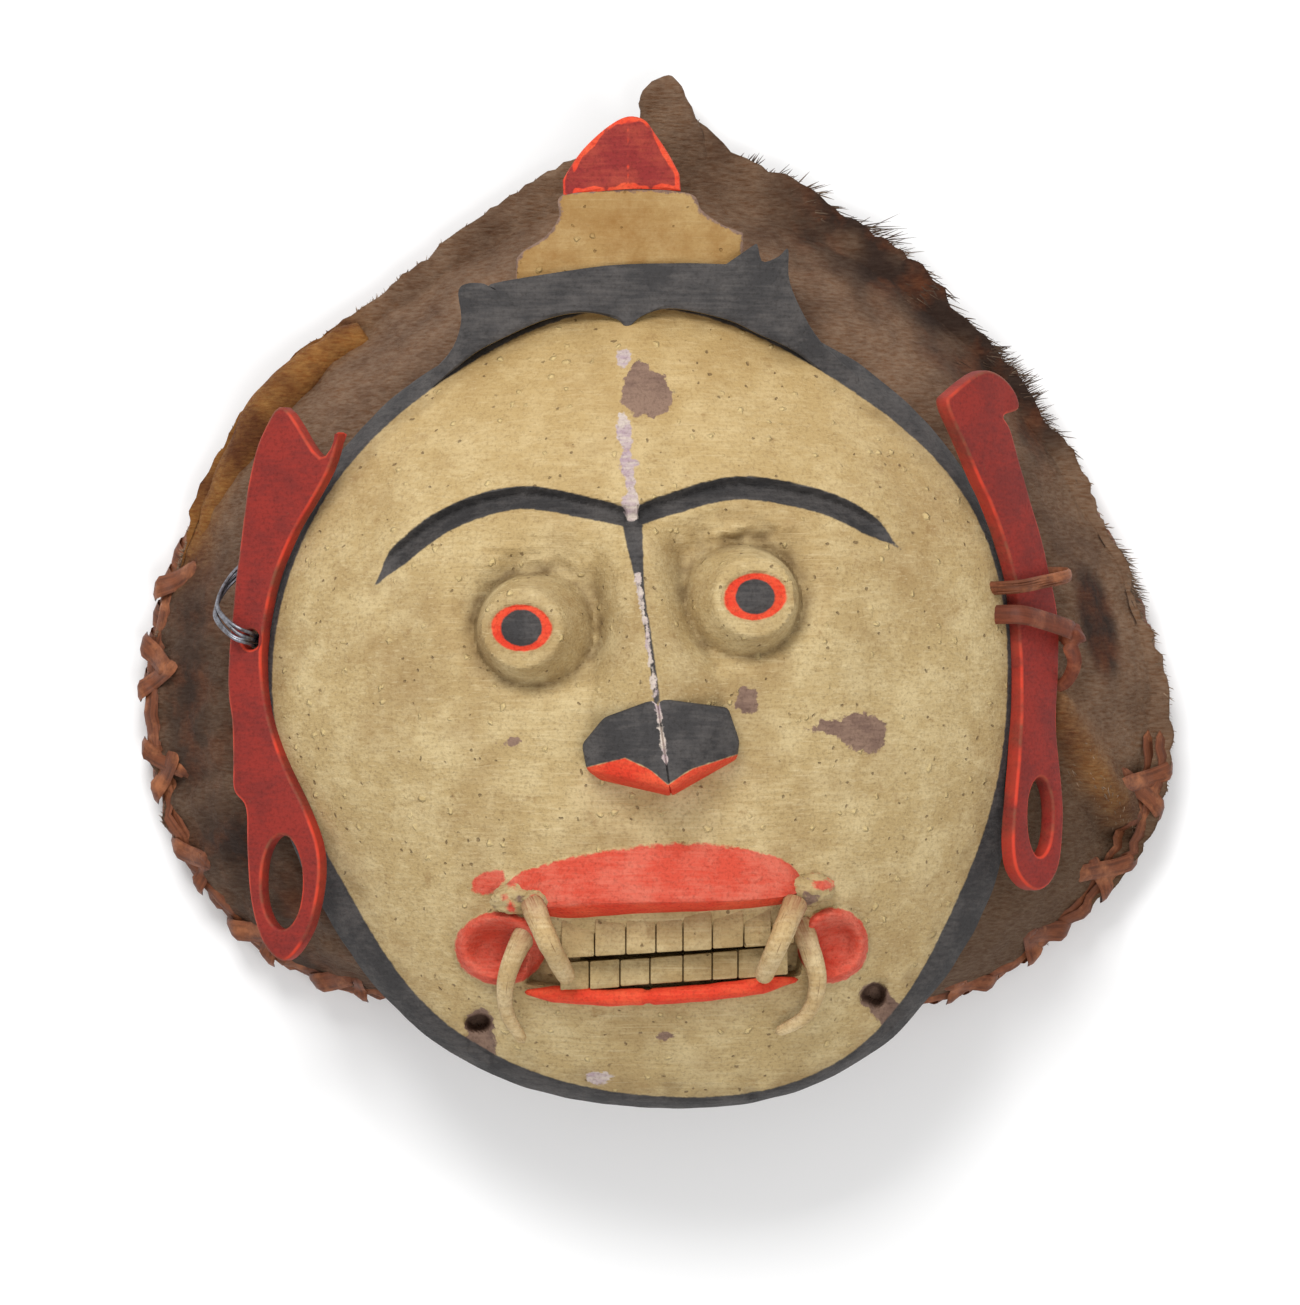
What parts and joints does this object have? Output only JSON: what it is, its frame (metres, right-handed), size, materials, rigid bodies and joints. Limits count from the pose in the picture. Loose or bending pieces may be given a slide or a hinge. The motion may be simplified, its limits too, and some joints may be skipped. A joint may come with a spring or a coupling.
{
  "type": "hudoq spirit mask",
  "caption": "Carved and painted wooden spirit-face mask with curved tusks and lashed ear boards, on a hide-covered rattan cap that is worn over the head and front of the face.",
  "frame": {"origin": "middle of the overall box on the floor under the mask, which lies on its back on its bound rim", "axes": "+Z out of the face, +Y to the crown, +X to the right as the face is looked at"},
  "size_m": [0.3538, 0.3548, 0.1611],
  "materials": {
    "painted_wood": "worn matt limewash, black and red paint over carved wood",
    "red_wood": "worn matt red paint over carved wood",
    "tusk_wood": "stained, lightly polished by handling",
    "wire": "dull drawn wire",
    "rattan": "smoked split rattan",
    "leather": "dry rawhide strip",
    "hide": "dry hide with worn hair"
  },
  "bodies": {
    "root": {"face": "painted_wood", "tusk_left": "tusk_wood", "tusk_right": "tusk_wood", "fang_left": "tusk_wood", "fang_right": "tusk_wood", "ear_left": "red_wood", "ear_right": "red_wood", "ear_wire": "wire", "rattan_tie": "rattan", "leather_strap": "leather", "basket": "rattan", "hide_cover": "hide", "bound_rim": "rattan"}
  },
  "joints": []
}
